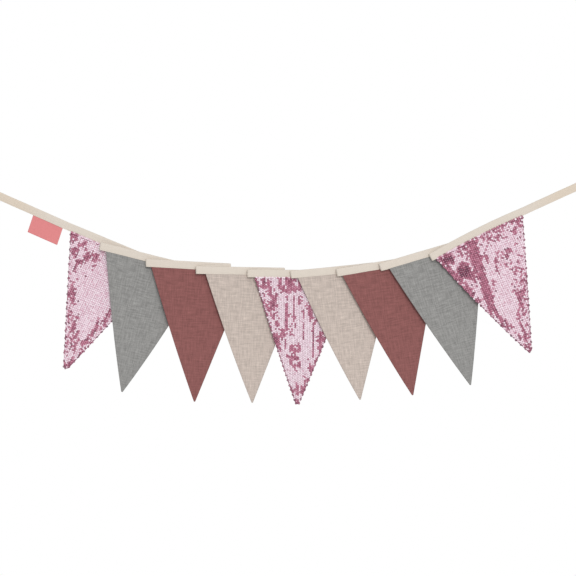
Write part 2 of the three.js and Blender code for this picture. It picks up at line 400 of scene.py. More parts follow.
def depth_along(flag, along):
    """How far back the tape stands along a flag, which goes from the front to the back."""
    start = 0 if flag is first_flag else -PLEAT_DEPTH
    end = 0 if flag is last_flag else PLEAT_DEPTH
    length = last_length if flag is last_flag else flag.run
    return start + (end - start) * (along + flag.lead) / (length + flag.lead)


def cloth_point(flag, along, drop):
    """The middle of the cloth, at distances along the tape and drops below its lower edge."""
    kept = np.minimum(along, flag.run)
    turn = np.clip((along - flag.run) / FOLD_RADIUS, 0, math.pi)
    flat = np.maximum(along - flag.run - math.pi * FOLD_RADIUS, 0)
    edge = lower_edge(flag, kept)
    edge = edge + (FOLD_RADIUS * np.sin(turn))[..., None] * flag.direction
    edge = edge + flat[..., None] * flag.return_direction
    place = edge + drop[..., None] * flag.column_down
    depth = depth_along(flag, kept) - FOLD_RADIUS * (1 - np.cos(turn)) + flag.return_slope * flat
    depth = depth - flag.curl * (np.maximum(drop, 0) / flag.drop) ** 2 - slack(flag, along, drop)
    return np.stack((place[..., 0], depth, place[..., 1]), axis=-1)


def cloth_front(surface, along, drop):
    """The direction in which the front of the cloth faces."""
    across = surface(along + SURFACE_STEP, drop) - surface(along - SURFACE_STEP, drop)
    downwards = surface(along, drop + SURFACE_STEP) - surface(along, drop - SURFACE_STEP)
    return unit(np.cross(downwards, across))


def outline_drop(flag, along):
    """How far down the flag reaches: two long edges that meet in a rounded tip."""
    shoulder = flag.drop * (1 - 2 * flag.blunt / FLAG_WIDTH)
    from_tip = np.abs(along - flag.tip_column)
    on_left = along < flag.tip_column
    side = np.where(on_left, flag.tip_column, FLAG_WIDTH - flag.tip_column)
    share = 1 - (from_tip - flag.blunt) / (side - flag.blunt)
    edge = shoulder * share + 4 * np.where(on_left, flag.bow, flag.swell) * share * (1 - share)
    tip = shoulder + flag.blunt * (1 - (from_tip / flag.blunt) ** 2) / 2
    return np.where(from_tip < flag.blunt, tip, edge)


tips = [cloth_point(flag, np.array(flag.tip_column), np.array(flag.drop)) for flag in flags]
print("tips at x " + ", ".join(f"{tip[0] / MM:.0f}" for tip in tips) + " mm")

# %% [markdown]
# ## From a grid of points to a closed sheet
#
# A flag is sewn from two layers, right sides together, and turned. So it is a thin pillow: its
# edges are round, and a firmer border runs along them where the seam allowance lies inside. The
# sheet is made from one grid of points in the middle of the cloth. The front and the back stand
# off from it by half the thickness, which goes down to nothing at the edge, where they share their
# points, so the mesh is closed. The flat place of each point is kept as its UV, and the weave
# follows that.

# %% From a grid of points to a closed sheet
CLOTH_UV = "flat_cloth"
# The attribute that holds how much painted shade a point gets at the cloth's round edges and seam step.
EDGE_SHADE_ATTRIBUTE = "edge_shade"
# Distances from the edge of a cloth, where it rounds, and where the even steps begin.
CLOSE_STEPS = np.array((0.12, 0.35, 0.8, 1.5)) * MM
CLOSE_END = 2 * MM


def new_piece(name, mesh):
    piece = bpy.data.objects.new(name, mesh)
    bpy.context.collection.objects.link(piece)
    return piece


def cloth_piece(name, points, faces, flat):
    """A smooth mesh that keeps the flat place of each of its points."""
    mesh = bpy.data.meshes.new(name)
    mesh.from_pydata(points, [], faces.tolist())
    mesh.uv_layers.new(name=CLOTH_UV).uv.foreach_set("vector", flat[faces.ravel()].ravel())
    mesh.shade_smooth()
    return new_piece(name, mesh)


def write_attribute(piece, name, domain, values):
    attribute = piece.data.attributes.new(name, "FLOAT", domain)
    attribute.data.foreach_set("value", np.asarray(values, np.float32).ravel())


def quads(index):
    corners = (index[:-1, :-1], index[:-1, 1:], index[1:, 1:], index[1:, :-1])
    return np.stack(corners, axis=-1).reshape(-1, 4)


def closed_sheet(name, surface, grid, half_thickness, rounding, edge_shade, skew=0):
    """A sheet over a grid of distances along the tape, drops and distances from the edge."""
    along, drop, from_edge = grid
    inner = np.clip(from_edge / rounding, 0, 1)
    half_thickness = half_thickness * np.sqrt(1 - (1 - inner) ** 2)
    inside = np.zeros(along.shape, bool)
    inside[1:-1, 1:-1] = True
    front_index = np.arange(along.size).reshape(along.shape)
    back_index = front_index.copy()
    back_index[inside] = along.size + np.arange(inside.sum())
    middle = surface(along, drop)
    offset = cloth_front(surface, along, drop) * half_thickness[..., None]
    flat = np.stack((along + skew * drop, -drop), axis=-1)
    points = np.concatenate(((middle + offset).reshape(-1, 3), (middle - offset)[inside]))
    faces = np.concatenate((quads(front_index), quads(back_index)[:, ::-1]))
    flat = np.concatenate((flat.reshape(-1, 2), flat[inside]))
    piece = cloth_piece(name, points, faces, flat)
    write_attribute(piece, EDGE_SHADE_ATTRIBUTE, "POINT", np.concatenate((edge_shade.ravel(), edge_shade[inside])))
    return piece


def near_both_ends(start, end, steps):
    """Steps from start to end that are finer near both ends."""
    even = np.linspace(start, end, steps)[1:-1]
    even = even[(even > start + CLOSE_END) & (even < end - CLOSE_END)]
    return np.concatenate(([start], start + CLOSE_STEPS, even, end - CLOSE_STEPS[::-1], [end]))


print("closed_sheet joins the front and the back of a cloth along its edges")

# %% [markdown]
# ## How a flag is divided
#
# The mesh needs small faces only where the cloth turns quickly: at the round edges, at the tip and
# in the fold. Columns run from the tape to the flag's long edges. Each column is divided evenly,
# with a few closer steps just above the edge.

# %% How a flag is divided
COLUMN_STEP = 2.6 * MM
SMALLEST_STEP = 0.05 * MM
ROW_COUNT = 52
FOLD_STEPS = 10
TIP_STEPS = 8
HEAD_STEPS = np.array((0, 0.12, 0.4)) * MM
EDGE_STEPS = np.array((0, 0.1, 0.3, 0.7, 1.3, 2.4, 4.2, 6.5, 8.5)) * MM
EDGE_SHARE = 0.6
SEAM_ALLOWANCE, SEAM_SOFTNESS = 7 * MM, 0.6 * MM
# The width of the painted shade at a flag's round edge, and how strong the painted shade line is at the
# step over the seam allowance.
EDGE_SHADE_WIDTH, SEAM_SHADE = 1.3 * MM, 0.35
HALF_LINEN, HALF_BACKING, HALF_BORDER = 0.42 * MM, 0.45 * MM, 0.50 * MM


def column_places(flag):
    even = near_both_ends(0, FLAG_WIDTH, round(FLAG_WIDTH / COLUMN_STEP))
    tip = np.linspace(flag.tip_column - flag.blunt, flag.tip_column + flag.blunt, TIP_STEPS + 1)
    places = np.concatenate((even, tip))
    if flag is not last_flag:
        fold_end = flag.run + math.pi * FOLD_RADIUS
        clear = (places < flag.run) | (places > fold_end)
        places = np.concatenate((places[clear], np.linspace(flag.run, fold_end, FOLD_STEPS + 1)))
    places = np.sort(places)
    return places[np.diff(places, prepend=-1) > SMALLEST_STEP]


def flag_grid(flag):
    """Distances along the tape, drops, and each place's distance from the flag's nearest edge."""
    places = column_places(flag)
    lowest = outline_drop(flag, places)
    lowest[0] = lowest[-1] = 0
    step = 0.1 * MM
    rise = (outline_drop(flag, places + step) - outline_drop(flag, places - step)) / (2 * step)
    slant = np.sqrt(1 + (rise + flag.skew) ** 2)
    height = lowest + HEAD
    edge_steps = EDGE_STEPS[None, :] * slant[:, None]
    edge_steps *= np.minimum(1, EDGE_SHARE * height / edge_steps[:, -1])[:, None]
    upper = (height - edge_steps[:, -1])[:, None] * np.linspace(0, 1, ROW_COUNT)[None, :-1]
    drops = np.concatenate((upper, height[:, None] - edge_steps[:, ::-1]), axis=1) - HEAD
    drops = np.concatenate((drops[:, :1] + HEAD_STEPS, drops[:, 1:]), axis=1)
    along = np.repeat(places[:, None], drops.shape[1], axis=1)
    from_side = np.minimum(along, FLAG_WIDTH - along)
    from_outline = (lowest[:, None] - drops) / slant[:, None]
    from_edge = np.minimum(np.minimum(from_outline, from_side), drops + HEAD)
    return along, drops, np.maximum(from_edge, 0)


def make_flag_cloth(flag, half_middle):
    """A flag's sheet, half_middle thick to each side and firmer over the seam allowance."""
    grid = flag_grid(flag)
    from_edge = grid[-1]
    border = 1 / (1 + np.exp((from_edge - SEAM_ALLOWANCE) / SEAM_SOFTNESS))
    thickness = half_middle + (HALF_BORDER - half_middle) * border
    # Painted shade: strongest at the round edge, with a faint line where the border's step lies.
    edge_shade = np.exp(-((from_edge / EDGE_SHADE_WIDTH) ** 2)) + SEAM_SHADE * border * (1 - border) * 4
    name, surface = f"flag_{flag.number}_cloth", partial(cloth_point, flag)
    piece = closed_sheet(name, surface, grid, thickness, HALF_BORDER, edge_shade, flag.skew)
    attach(piece, "root")
    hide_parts(flag.node)
    return piece


column_count, row_count = flag_grid(first_flag)[0].shape
print(f"a flag has {column_count} columns and {row_count} rows")

# %% [markdown]
# ## The weave
#
# Linen is a plain weave of uneven threads, and it has to look right from close by and from behind,
# under any lamp. So it is worked out from the flat place of each point: where the lengthwise thread
# is on top, where the crosswise one is, and how thick each thread is just there. One node group does
# this for every cloth of the garland, with its own thread width and its own unevenness.

# %% The weave
WEAVE_INPUTS = {
    "Place": "Vector",
    "Colour": "Color",
    "Thread Width": "Float",
    "Thread Shadow": "Float",
    "Unevenness": "Float",
    "Slubs": "Float",
}
WEAVE_OUTPUTS = {"Colour": "Color", "Height": "Float"}
# How often in a metre the cloth changes along its threads and across them.
STREAK_CHANGES = (45, 420)
SLUB_CHANGES = (130, 800)
TONE_CHANGES = 70
# How far apart two neighbouring threads lie in the noise that gives each its tone.
WARP_APART, WEFT_APART = 0.73, 0.61
TONE_SHARE = 0.8
SLUB_LIMITS = (0.73, 0.83)
UNEVEN_THICKNESS, SLUB_THICKNESS = 0.6, 0.5


def times(first, second):
    return calculate("MULTIPLY", first, second)


def cloudy(x, y, detail=1.0):
    """Soft noise from 0 to 1 at a place that is given by two numbers."""
    place = add_node(x.id_data, "CombineXYZ", {0: x, 1: y}).outputs[0]
    inputs = {"Vector": place, "Scale": 1, "Detail": detail}
    return add_node(x.id_data, "TexNoise", inputs, noise_dimensions="2D").outputs[0]


def ramp(value, low, high):
    """0 below low and 1 above high, with a soft rise between them."""
    inputs = {"Value": value, "From Min": low, "From Max": high}
    return add_node(value.id_data, "MapRange", inputs, interpolation_type="SMOOTHSTEP").outputs[0]


def make_weave_group():
    group = bpy.data.node_groups.new("Plain weave", "ShaderNodeTree")
    for in_out, sockets in (("INPUT", WEAVE_INPUTS), ("OUTPUT", WEAVE_OUTPUTS)):
        for name, kind in sockets.items():
            group.interface.new_socket(name, in_out=in_out, socket_type=f"NodeSocket{kind}")
    given = group.nodes.new("NodeGroupInput").outputs
    u, v, _ = add_node(group, "SeparateXYZ", {0: given["Place"]}).outputs

    warp, weft = (calculate("DIVIDE", place, given["Thread Width"]) for place in (u, v))
    warp_number, weft_number = (calculate("FLOOR", thread) for thread in (warp, weft))
    warp_round, weft_round = (
        calculate("SINE", times(calculate("FRACT", thread), math.pi)) for thread in (warp, weft)
    )
    warp_on_top = calculate("FLOORED_MODULO", calculate("ADD", warp_number, weft_number), 2)

    def top_thread(warp_value, weft_value):
        return add_node(group, "Mix", {0: warp_on_top, 2: weft_value, 3: warp_value}).outputs[0]

    def both_ways(along, across, detail=1.0):
        """Noise that is drawn out along the warp, and the same along the weft."""
        lengthwise = cloudy(times(u, across), times(v, along), detail)
        return lengthwise, cloudy(times(u, along), times(v, across), detail)

    height = top_thread(
        times(warp_round, calculate("MULTIPLY_ADD", weft_round, 0.5, 0.5)),
        times(weft_round, calculate("MULTIPLY_ADD", warp_round, 0.5, 0.5)),
    )
    thread_tone = top_thread(
        cloudy(times(warp_number, WARP_APART), times(v, TONE_CHANGES)),
        cloudy(times(u, TONE_CHANGES), times(weft_number, WEFT_APART)),
    )
    streaks = calculate("SUBTRACT", calculate("ADD", *both_ways(*STREAK_CHANGES, 2)), 1)
    thread_tone = calculate("SUBTRACT", thread_tone, 0.5)
    uneven = calculate("MULTIPLY_ADD", thread_tone, TONE_SHARE, streaks)
    slubs = calculate("MAXIMUM", *(ramp(noise, *SLUB_LIMITS) for noise in both_ways(*SLUB_CHANGES)))
    tone = calculate("MULTIPLY_ADD", uneven, given["Unevenness"], 1)
    tone = calculate("MULTIPLY_ADD", slubs, given["Slubs"], tone)
    shadow = times(calculate("SUBTRACT", 1, height), given["Thread Shadow"])
    coloured = scaled(given["Colour"], calculate("SUBTRACT", tone, shadow))
    thick = calculate("MULTIPLY_ADD", uneven, UNEVEN_THICKNESS, height)
    thick = calculate("MULTIPLY_ADD", slubs, SLUB_THICKNESS, thick)
    fill(group.nodes.new("NodeGroupOutput"), {"Colour": coloured, "Height": thick})
    return group


weave_group = make_weave_group()
print(f"the weave group has {len(weave_group.nodes)} nodes")

# %% [markdown]
# ## Cloth materials
#
# Every cloth is the weave in a colour of its own. The flags' edges get a painted shade where the cloth
# turns round, and a faint line of painted shade marks the step at the border over the seam allowance.
# The tape's colour is painted warmer and a little darker towards its two bare ends, where no flag lies
# inside and the thinner cloth lets more light through. A little sheen stands for the fine fibres that
# stick out of linen and cotton.

# %% Cloth materials
# How much the painted edge shade darkens a cloth's colour.
EDGE_SHADE_STRENGTH = 0.10
RELIEF_STRENGTH = 0.6
BARE_ATTRIBUTE = "bare"


def make_cloth_material(
    name, colour, unevenness, slubs, thread, shadow, relief, roughness, sheen, bare_colour=None
):
    """A woven cloth. Where its bare attribute is one, it takes the bare colour if it has one."""
    material, tree = new_material(name)
    place = add_node(tree, "UVMap", uv_map=CLOTH_UV).outputs[0]
    colour = (*colour, 1)
    if bare_colour:
        bare = add_node(tree, "Attribute", attribute_name=BARE_ATTRIBUTE).outputs["Fac"]
        inputs = {0: bare, 6: colour, 7: (*bare_colour, 1)}
        colour = add_node(tree, "Mix", inputs, data_type="RGBA").outputs[2]
    values = dict(zip(WEAVE_INPUTS, (place, colour, thread, shadow, unevenness, slubs)))
    weave = add_node(tree, "Group", values, node_tree=weave_group).outputs
    # Painted shade at a sheet's round edges and along its seam step darkens the weave's colour.
    edge_shade = add_node(tree, "Attribute", attribute_name=EDGE_SHADE_ATTRIBUTE).outputs["Fac"]
    shade = calculate("MULTIPLY_ADD", edge_shade, -EDGE_SHADE_STRENGTH, 1)
    inputs = {"Strength": RELIEF_STRENGTH, "Distance": relief, "Height": weave["Height"]}
    looks = {
        "Base Color": scaled(weave["Colour"], shade),
        "Normal": add_node(tree, "Bump", inputs).outputs[0],
        "Roughness": roughness,
        "Specular IOR Level": 0.3,
        "Sheen Weight": sheen,
        "Sheen Roughness": 0.5,
    }
    fill(tree.nodes["Principled BSDF"], looks)
    return material


LINEN = dict(thread=0.62 * MM, shadow=0.22, relief=0.16 * MM, roughness=0.92, sheen=0.06)
FINE = dict(unevenness=0.05, slubs=0.0, thread=0.36 * MM, shadow=0.14, relief=0.08 * MM, sheen=0.05)
linen = {
    "grey": make_cloth_material("Grey linen", (0.328, 0.324, 0.314), 0.47, 0.42, **LINEN),
    "rose": make_cloth_material("Rose linen", (0.298, 0.117, 0.111), 0.41, 0.22, **LINEN),
    "natural": make_cloth_material("Natural linen", (0.641, 0.546, 0.486), 0.38, 0.22, **LINEN),
}
# The bare colour is a painted tint for the tape's bare ends, where the thinner cloth lets more light
# through, so it looks warmer and a little darker.
tape_cotton = make_cloth_material(
    "Cotton tape", (0.778, 0.700, 0.614), bare_colour=(0.765, 0.663, 0.550), roughness=0.88, **FINE
)
backing = make_cloth_material("Sequin backing", (0.340, 0.120, 0.185), roughness=0.8, **FINE)
label_cloth = make_cloth_material("Woven label", (0.800, 0.265, 0.268), roughness=0.6, **FINE)
print(f"{len(linen) + 3} cloths are woven")

# %% [markdown]
# ## The flags
#
# The linen flags are ready as soon as they are cut: their sheet takes its material and rides on the
# garland. The sequin flags get the same sheet in their backing cloth, and their sequins later.

# %% The flags
for flag in flags:
    is_linen = flag.cloth in linen
    piece = make_flag_cloth(flag, HALF_LINEN if is_linen else HALF_BACKING)
    piece.data.materials.append(linen.get(flag.cloth, backing))

# %% [markdown]
# ## One sequin
#
# A sequin is a thin pressed disc with a ring of small facets round a flat middle, where the thread
# holds it. It starts as a very flat cylinder with eight sides. Both ends are inset and pressed
# down, and the two rims are then merged, because a sequin is far too thin for its rim to show.

# %% One sequin
SEQUIN_RADIUS = 1.90 * MM
SEQUIN_SIDES = 8
SEQUIN_FILM = 0.10 * MM
SEQUIN_FLAT = 0.50 * MM
SEQUIN_CUP = 0.09 * MM
RIM_MERGE = 1.05 * SEQUIN_FILM
# A face looks along an axis when its normal's share of it is larger than this.
LOOKS_ALONG = 0.9


def select_end(axis, side):
    """Selects the faces at one end of the small piece that is being shaped."""
    bpy.ops.object.mode_set(mode="EDIT")
    bpy.ops.mesh.select_mode(type="FACE")
    bpy.ops.mesh.select_all(action="DESELECT")
    bpy.ops.object.mode_set(mode="OBJECT")
    for face in bpy.context.object.data.polygons:
        face.select = face.normal[axis] * side > LOOKS_ALONG
    bpy.ops.object.mode_set(mode="EDIT")


def take_apart():
    """The points and the faces of the small piece that is being shaped, which is then removed."""
    piece = bpy.context.object
    points = np.array([point.co for point in piece.data.vertices])
    faces = [list(face.vertices) for face in piece.data.polygons]
    bpy.data.objects.remove(piece)
    return points, faces


def make_sequin():
    """The points and faces of a sequin, and which of its faces is the middle of its front."""
    bpy.ops.mesh.primitive_cylinder_add(
        vertices=SEQUIN_SIDES, radius=SEQUIN_RADIUS, depth=SEQUIN_FILM, end_fill_type="NGON"
    )
    inset = (SEQUIN_RADIUS - SEQUIN_FLAT) * math.cos(math.pi / SEQUIN_SIDES)
    for side, depth in ((1, SEQUIN_CUP), (-1, SEQUIN_CUP + SEQUIN_FILM)):
        select_end(2, side)
        bpy.ops.mesh.inset(thickness=inset)
        bpy.ops.transform.translate(value=(0, 0, -depth))
    bpy.ops.mesh.select_all(action="SELECT")
    bpy.ops.mesh.remove_doubles(threshold=RIM_MERGE)
    bpy.ops.object.mode_set(mode="OBJECT")
    middle = [
        face.normal.z > LOOKS_ALONG and len(face.vertices) == SEQUIN_SIDES
        for face in bpy.context.object.data.polygons
    ]
    return (*take_apart(), middle)


sequin_points, sequin_faces, sequin_middle = make_sequin()
print(f"a sequin has {len(sequin_points)} points and {len(sequin_faces)} faces")

# %% [markdown]
# ## Many small copies in one mesh
#
# Thousands of separate objects would be slow, so the copies of a small thing are joined in one
# mesh. Each copy has its own place, its own three directions and its own size.

# %% Many small copies in one mesh
BAKE_UV = "OFBake"
# In shares of a cell: the size and the margin of a copy's front, and how far aside its back lies.
CELL_SIZE, CELL_MARGIN, CELL_BACK = (0.44, 0.9), (0.03, 0.05), 0.5


def cell_uv(points, faces, count):
    """A UV map in which each copy has a cell of its own, with its front beside its back."""
    columns = math.ceil(math.sqrt(count / 2))
    cell = np.array((1 / columns, 1 / math.ceil(count / columns)))
    shape = points[:, :2] - points[:, :2].min(axis=0)
    shape = shape / shape.max(axis=0) * CELL_SIZE + CELL_MARGIN
    aside = []
    for face in faces:
        normal = np.cross(*(points[face[1:3]] - points[face[0]]))
        aside += [(CELL_BACK if normal[2] < 0 else 0, 0)] * len(face)
    one = shape[np.concatenate(faces)] + aside
    number = np.arange(count)
    corner = np.stack((number % columns, number // columns), axis=-1)
    return ((corner[:, None, :] + one[None, :, :]) * cell).reshape(-1, 2)


def joined_copies(name, points, faces, places, axes, sizes):
    """One mesh of copies of a small shape. axes holds each copy's three directions as rows."""
    turned = np.einsum("vi,nij->nvj", points, axes) * sizes[:, None, None]
    vertices = (turned + places[:, None, :]).reshape(-1, 3)
    starts = range(0, len(vertices), len(points))
    all_faces = [[start + corner for corner in face] for start in starts for face in faces]
    mesh = bpy.data.meshes.new(name)
    mesh.from_pydata(vertices, [], all_faces)
    uv = cell_uv(points, faces, len(places))
    mesh.uv_layers.new(name=BAKE_UV).uv.foreach_set("vector", uv.ravel())
    return new_piece(name, mesh)


def turned_pair(first, second, angle):
    """Two directions at a right angle, with the first turned towards the second by an angle."""
    cosine, sine = np.cos(angle)[:, None], np.sin(angle)[:, None]
    return first * cosine + second * sine, second * cosine - first * sine


print("joined_copies is ready for the sequins and the stitches")

# %% [markdown]
# ## How the sequins lie
#
# The sequins are sewn in rows that run down from the tape. In a row they overlap like roof tiles.
# On the two outer flags the rows are close, and every second one lies a little behind the others, with
# a painted shade that makes it a little darker.
# The middle flag has wider rows of smaller sequins.
#
# Most sequins lie flat and catch the light, and these look nearly white. Where a hand has brushed them
# up, they show their deep rose side. So the flags have ragged patches, each made of whole sequins, and
# long dark streaks where a whole row has turned. The patches are listed as plain boxes with round
# corners, and chance breaks up their outlines.

# %% How the sequins lie
# For each sequin flag: the millimetres from row to row, from sequin to sequin in a row and along
# the flag's edges, the size of its sequins, how much chance there is in its patches, and whether
# every second row lies behind.
SEWING_COLUMNS = ("row_pitch", "pitch", "edge_pitch", "size", "chance", "alternate")
SEWING = {
    1: (2.5, 4.4, 13.3, 1, 0.22, 1),
    5: (3.05, 3.3, 9.7, 0.89, 0.26, 0),
    9: (2.5, 4.4, 13.6, 1, 0.26, 1),
}

# Millimetres and degrees: the middle of a brushed-up patch, its half width and half height, how
# surely its sequins have turned, and how far it turns to the left on its way down. These last two
# are 1 and 0 where they are left out. A patch surer than PLUM_START is a deeper plum as well.
PATCH_COLUMNS = ("across", "drop", "half_width", "half_height", "sure", "turn")
PATCH_FADE = 0.7
PLUM_START = 1.5
PATCHES = {
    1: (
        (9, 5, 8, 7), (28, 14, 8, 4, 1, -45), (12, 19, 6, 2, 0.7), (21, 31, 6, 8, 0.9),
        (57, 26, 12, 8, 0.85), (44, 31, 4, 12, 0.85), (39, 20, 3, 4, 0.8), (38, 45, 6, 4),
        (33, 55, 3, 10), (36, 66, 3, 4, 0.9), (65, 40, 4, 3, 0.9), (63, 49, 3, 3, 0.6),
        (57, 62, 3, 3, 0.6), (29, 77, 3, 8, 0.8), (42, 84, 3, 7, 0.8), (40, 94, 3, 4, 0.8),
        (46, 105, 8, 12, 0.95), (57, 121, 5, 4), (50, 133, 4, 6, 0.8), (72, 152, 3, 11),
        (73, 167, 5, 6), (83, 175, 4, 8, 0.9), (90, 193, 3, 14, 0.9), (55, 147, 5, 4, 0.7, 20),
        (68, 180, 5, 6, 0.7), (77, 188, 4, 6, 0.7), (71, 196, 3, 5, 0.7), (124, 120, 4, 18),
        (116, 143, 8, 4), (111, 137, 3, 4, 0.9), (111, 155, 4, 9), (108, 170, 6, 8), (102, 182, 7, 5),
        (104, 198, 4, 4), (95, 218, 3, 6, 0.9), (96, 225, 4, 5, 1.4), (88, 236, 7, 6),
        (60, 160, 14, 70, 0.37, -19),
    ),
    5: (
        (17, 11, 4, 9, 1.8), (26, 12, 5, 6), (29, 28, 3, 13), (5, 5, 3, 3), (40, 24, 5, 4, 0.8),
        (38, 36, 7, 4), (35, 49, 5, 10, 1.8), (29, 60, 5, 4), (24, 51, 5, 6, 0.8), (19, 45, 3, 5),
        (27, 67, 4, 4, 0.8), (43, 57, 3, 2), (35, 76, 5, 5, 0.9), (41, 90, 4, 9, 0.9),
        (43, 105, 3, 4, 0.6), (41, 119, 7, 10, 1.9), (53, 108, 5, 9), (46, 128, 5, 7, 1.1),
        (48, 7, 3, 8), (44, 9, 3, 5, 0.7), (51, 18, 8, 3), (66, 10, 7, 13, 1.65), (54, 25, 6, 4, 0.9),
        (63, 25, 6, 4), (77, 22, 7, 4), (75, 7, 4, 4, 0.8), (84, 16, 3, 9, 1.65), (60, 36, 2, 8),
        (59.5, 71, 2.8, 26, 1.6), (65, 69, 3, 3, 0.9), (55, 98, 5, 4), (73.2, 52, 2, 21, 1.3),
        (74, 75, 4, 4, 0.9), (68, 90, 3, 4, 0.8), (77, 91, 2, 5), (70, 105, 5, 5),
        (91.5, 66, 2, 8, 1.2), (91.5, 85, 2, 8, 1.2), (91.5, 105, 2, 9, 1.2), (85, 42, 4, 8, 0.9),
        (97, 48, 3, 3), (101, 57, 3, 7), (106, 71, 4, 10), (104, 85, 2, 5, 0.8), (113, 80, 3, 7),
        (109.8, 119, 2, 29, 1.7), (125, 102, 4, 8, 1.1), (124, 114, 7, 6), (58, 126, 2, 8),
        (74, 134, 8, 7), (83, 132, 3, 9, 0.9), (63, 143, 3, 4), (75, 150, 9, 5), (69, 158, 4, 6),
        (77, 164, 8, 3), (83, 162, 3, 6), (76, 172, 3, 3, 0.8), (91, 181, 3, 2, 0.9),
        (101, 147, 3, 4, 0.6), (123, 126, 4, 12), (115, 153, 3, 5), (107, 168, 5, 4, 0.9),
        (105, 177, 3, 6, 1.1), (98, 187, 4, 5), (95, 200, 3, 7), (89, 208, 3, 9, 1.2),
        (80, 207, 3, 11, 1.1), (74, 211, 5, 4), (79, 230, 5, 4, 0.9), (30, 60, 12, 60, 0.34, -18),
    ),
    9: (
        (19, 12, 11, 9, 2.4), (15, 23, 5, 4, 1.3), (36, 46, 12, 11, 2.4), (40, 31, 4, 5, 1.4),
        (22, 60, 5, 48, 0.9, -17), (49, 6, 9, 6, 0.7), (45, 15, 5, 4), (57, 20, 5, 9, 0.8),
        (66, 34, 10, 38, 1.5, 10), (57.5, 94, 7.5, 46, 1.5, 9.5), (46, 63, 5, 10, 0.7, 9.5),
        (51, 130, 5, 12, 1.2, 9.5), (58, 150, 3.5, 9, 1, -10), (64, 166, 4, 5, 0.9),
        (69, 180, 4, 6, 0.8), (55, 163, 4, 4), (60, 175, 3, 6, 1, -18), (124, 1, 19, 4, 1.1),
        (151, 0, 12, 2), (171, 4, 8, 6), (167, 13, 4, 4, 0.9), (161, 5, 3, 4, 0.8),
        (155, 20, 5, 5, 0.9), (148, 10, 3, 2, 0.8), (154, 37, 3, 3, 0.9), (143, 42, 3, 4, 0.9),
        (119, 20, 18, 2, 1.2), (121, 15, 5, 5, 0.9), (94, 6, 3, 4), (103, 5, 3, 4), (98, 11, 3, 2, 0.8),
        (107, 13, 3, 4), (87, 15, 3, 3, 0.9), (84, 6, 3, 5), (118, 9, 32, 9, 0.4), (93, 29, 3, 4, 0.6),
        (85, 45, 3, 8, 1, 9.5), (128, 49, 6, 6, 1, -10), (115, 55, 9, 5), (100, 57, 6, 5),
        (107, 46, 3, 3, 0.7), (92, 70, 3, 6, 0.9, 9.5), (111, 73, 3, 3, 1.1), (122, 70, 3, 4, 0.8),
        (76, 90, 3, 7, 0.9, 9.5), (71, 103, 3, 2, 0.9), (119, 86, 4, 8), (127, 84, 4, 5, 0.8),
        (133, 95, 3, 4, 0.9), (128, 107, 4, 4), (133, 73, 3, 5, 0.8), (105, 115, 3, 4, 0.9),
        (101, 124, 3, 4, 0.9), (110, 133, 9, 8), (105, 147, 4, 8, 1, 9.5), (91, 165, 3, 6, 0.9),
        (95, 158, 3, 4, 0.8), (102, 165, 4, 8, 0.8), (86, 186, 3, 15), (95, 187, 3, 3, 0.9),
        (84, 207, 5, 6, 0.9), (91, 209, 3, 5), (73, 201, 3, 6, 0.8), (76, 222, 4, 6), (82, 226, 3, 6),
        (128, 110, 10, 90, 0.37, 20),
    ),
}


def brushed_up(flag, across, drop):
    """How surely the sequins of a place have turned: above 0.5 nearly all of them have."""
    strength = np.zeros(across.shape)
    for row in PATCHES[flag.number]:
        patch = named(PATCH_COLUMNS, row + (1, 0)[len(row) - 4 :])
        x, y = place_in(patch, across, drop)
        strength = np.maximum(strength, patch.sure * np.exp(-PATCH_FADE * (x**4 + y**4)))
    return strength


print(f"{sum(len(rows) for rows in PATCHES.values())} brushed-up patches on three flags")

# %% [markdown]
# ## Sewing the sequins on
#
# Each sequin gets its place on the front of the flag, its tilt and its tone, which is light or dark
# with a little chance. The first one of most rows hangs over the lower edge of the tape. The last
# one of a row often goes round the flag's edge, where it is dark and seen nearly edge-on, so a
# sequin flag has a beaded outline with dark dots.

# %% Sewing the sequins on
SEED = 7
# How surely a sequin has turned: from the first value on chance plays a part, and above the
# second it has turned.
CHANCE_START, TURNED_START = 0.02, 0.5
# Tones from 0, the darkest, to 1. The sequins in a patch are dark and all the others light.
LIGHT_TONE, LIGHT_SPREAD = 0.84, 0.06
DARK_TONE, DARK_SPREAD = 0.36, 0.09
PLUM_MOST, PLUM_SHADE = 0.4, 0.6
# How far back every second row lies, and the painted shade by which its tone is lowered.
BEHIND, BEHIND_SHADE = 0.10 * MM, 0.12
# The sequins in rows: how unevenly they are placed, and how they lie.
GRID_REACH, ROWS_ABOVE = 320 * MM, 20
ACROSS_SPREAD, DROP_SPREAD, ROW_SHIFT = 0.08 * MM, 0.10 * MM, 2.5 * MM
EDGE_MARGIN, TOP_MARGIN = 0.8 * MM, 0.8 * MM
LIFT, LIFT_SPREAD, SIZE_SPREAD = 1.05 * MM, 0.03 * MM, 0.02
LIGHT_TILT, DARK_TILT, TILT_SPREAD, ROLL_SPREAD = np.radians((-5, 6.5, 2, 2.5))
# The sequins that hang over the tape: all the uppermost ones, and most of those just below.
HANG_ALL, HANG_MOST, HANG_SHARE = 0.4 * MM, 2.8 * MM, 0.8
HANG_LIFT, DRAWN_UP = 1.75 * MM, (0.3, 0.9)
# The sequins along the flag's edges.
EDGE_TONE, EDGE_SPREAD, EDGE_SIZE = 0.13, 0.06, 1.15
EDGE_INWARDS, EDGE_LIFT = 0.2 * MM, 1.5 * MM
EDGE_LEAN = np.radians((15, 50))
# In shares of their pitch: where the first one is, and how unevenly they are placed.
FIRST_EDGE, EDGE_UNEVEN = 0.35, 0.07
TIP_CLEAR, EDGE_LIMITS = 2 * MM, (0.01, 0.99)


